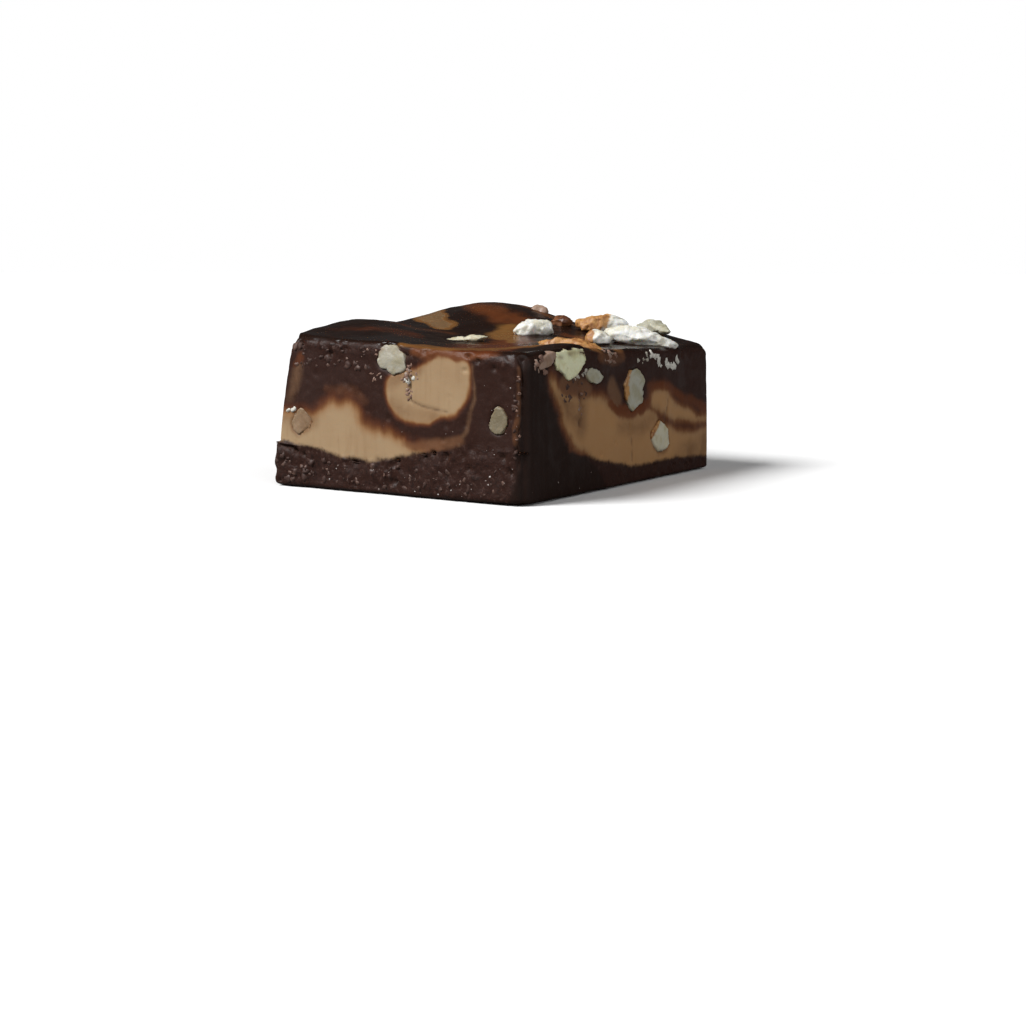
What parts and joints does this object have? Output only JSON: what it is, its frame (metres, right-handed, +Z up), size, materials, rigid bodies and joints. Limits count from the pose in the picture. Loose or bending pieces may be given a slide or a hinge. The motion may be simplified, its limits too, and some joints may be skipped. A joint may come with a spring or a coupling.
{
  "type": "fudge cube",
  "caption": "Hand-cut square of layered chocolate and caramel fudge, marbled, with broken pecans on its top and in its cut sides.",
  "frame": {"origin": "under the middle of the piece, on the surface that it stands on", "axes": "+Z up, +X along the front cut, +Y along the right-hand cut, which is the longer one"},
  "size_m": [0.0547, 0.0671, 0.0321],
  "materials": {
    "chocolate_fudge": "moist, slightly crumbly dark chocolate fudge",
    "caramel_fudge": "smooth satin caramel fudge with chocolate stirred through it, glossy on top",
    "pecan_flesh": "dry pale broken nut",
    "pecan_skin": "nut with its orange-brown skin on, satin"
  },
  "bodies": {
    "root": {"chocolate_base": "chocolate_fudge", "marbled_fudge": "caramel_fudge", "pecan_top_ridge": "pecan_flesh", "pecan_top_behind_ridge": "pecan_flesh", "pecan_top_skin_right": "pecan_skin", "pecan_top_skin_left": "pecan_skin", "pecan_top_double": "pecan_flesh", "pecan_top_pale": "pecan_flesh", "pecan_top_front_skin": "pecan_skin", "pecan_top_flake": "pecan_flesh", "pecan_top_back": "pecan_flesh", "pecan_front_edge": "pecan_flesh", "pecan_front_column": "pecan_flesh", "pecan_front_left": "pecan_flesh", "pecan_right_edge": "pecan_flesh", "pecan_right_small": "pecan_flesh", "pecan_right_corner": "pecan_flesh", "pecan_right_tall": "pecan_flesh", "pecan_right_white": "pecan_flesh", "pecan_back_high": "pecan_flesh", "pecan_back_middle": "pecan_flesh", "pecan_back_low": "pecan_flesh", "pecan_left_high": "pecan_flesh", "pecan_left_middle": "pecan_flesh", "pecan_left_back": "pecan_flesh"}
  },
  "joints": []
}
